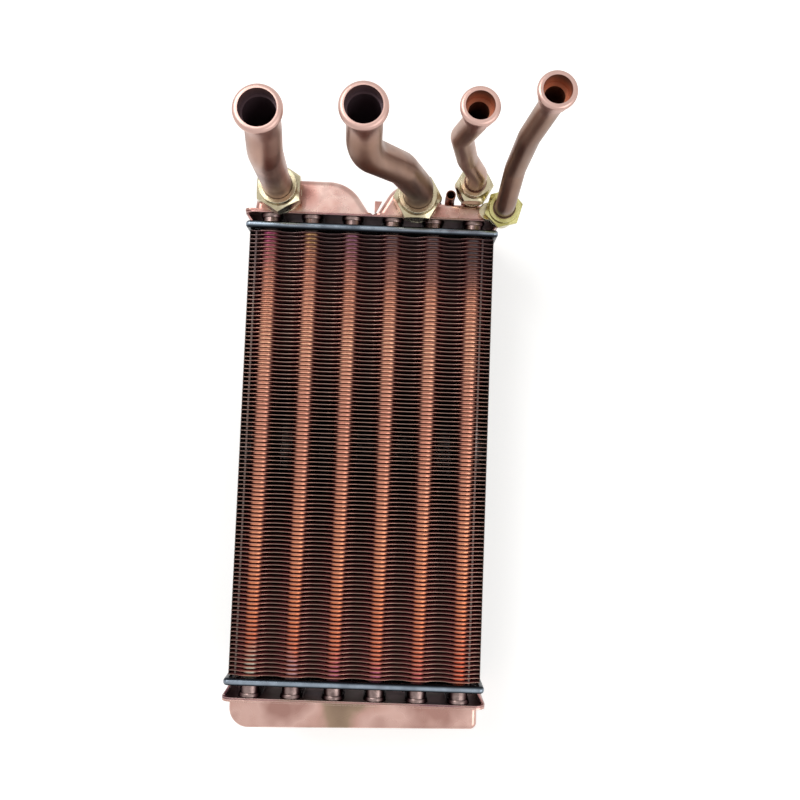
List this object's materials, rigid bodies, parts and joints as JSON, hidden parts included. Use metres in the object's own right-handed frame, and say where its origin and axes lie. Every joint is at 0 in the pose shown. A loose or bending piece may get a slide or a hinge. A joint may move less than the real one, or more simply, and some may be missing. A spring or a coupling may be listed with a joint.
{
  "type": "boiler heat exchanger",
  "caption": "Finned tube-in-tube copper heat exchanger for a wall boiler, with end headers, union nuts and bent connection pipes.",
  "frame": {"origin": "middle of the back edge of the end plate at the connection end, on the surface the part lies on", "axes": "+X across the tubes, +Y along the tubes towards the connection end, +Z out of the front face with the pipes"},
  "size_m": [0.1783, 0.3517, 0.215],
  "materials": {
    "fin_copper": "rolled copper sheet, heat-darkened by brazing",
    "tube_copper": "drawn copper, heat-tinted by brazing",
    "inner_copper": "drawn copper",
    "header_copper": "pressed copper sheet, annealed, pinkish",
    "pipe_copper": "bent copper pipe, dulled by annealing",
    "plate_steel": "dark bluish oxidised steel sheet",
    "nut_brass": "turned brass, satin",
    "spigot_brass": "turned brass with a rolled thread",
    "seal_fibre": "compressed fibre, flat"
  },
  "bodies": {
    "root": {"connection_end_plate": "plate_steel", "connection_tube_plate": "header_copper", "far_cap": "header_copper", "far_end_plate": "plate_steel", "far_tube_plate": "header_copper", "fins": "fin_copper", "flow_cover": "header_copper", "flow_nut": "nut_brass", "flow_pipe": "pipe_copper", "flow_seal": "seal_fibre", "flow_spigot": "spigot_brass", "inner_cap_left": "inner_copper", "inner_cap_middle": "inner_copper", "inner_cap_right": "inner_copper", "inner_link_long": "inner_copper", "inner_link_short": "inner_copper", "inner_tube_1": "inner_copper", "inner_tube_2": "inner_copper", "inner_tube_3": "inner_copper", "inner_tube_4": "inner_copper", "inner_tube_5": "inner_copper", "inner_tube_6": "inner_copper", "outer_tube_1": "tube_copper", "outer_tube_2": "tube_copper", "outer_tube_3": "tube_copper", "outer_tube_4": "tube_copper", "outer_tube_5": "tube_copper", "outer_tube_6": "tube_copper", "return_cover": "header_copper", "return_nut": "nut_brass", "return_pipe": "pipe_copper", "return_seal": "seal_fibre", "return_spigot": "spigot_brass", "rim_tab": "header_copper", "vent_tube": "pipe_copper", "water_in_nut": "nut_brass", "water_in_pipe": "pipe_copper", "water_in_seal": "seal_fibre", "water_in_spigot": "spigot_brass", "water_in_tube": "inner_copper", "water_out_elbow": "pipe_copper", "water_out_nut": "nut_brass", "water_out_pipe": "pipe_copper", "water_out_seal": "seal_fibre", "water_out_spigot": "spigot_brass"}
  },
  "joints": []
}
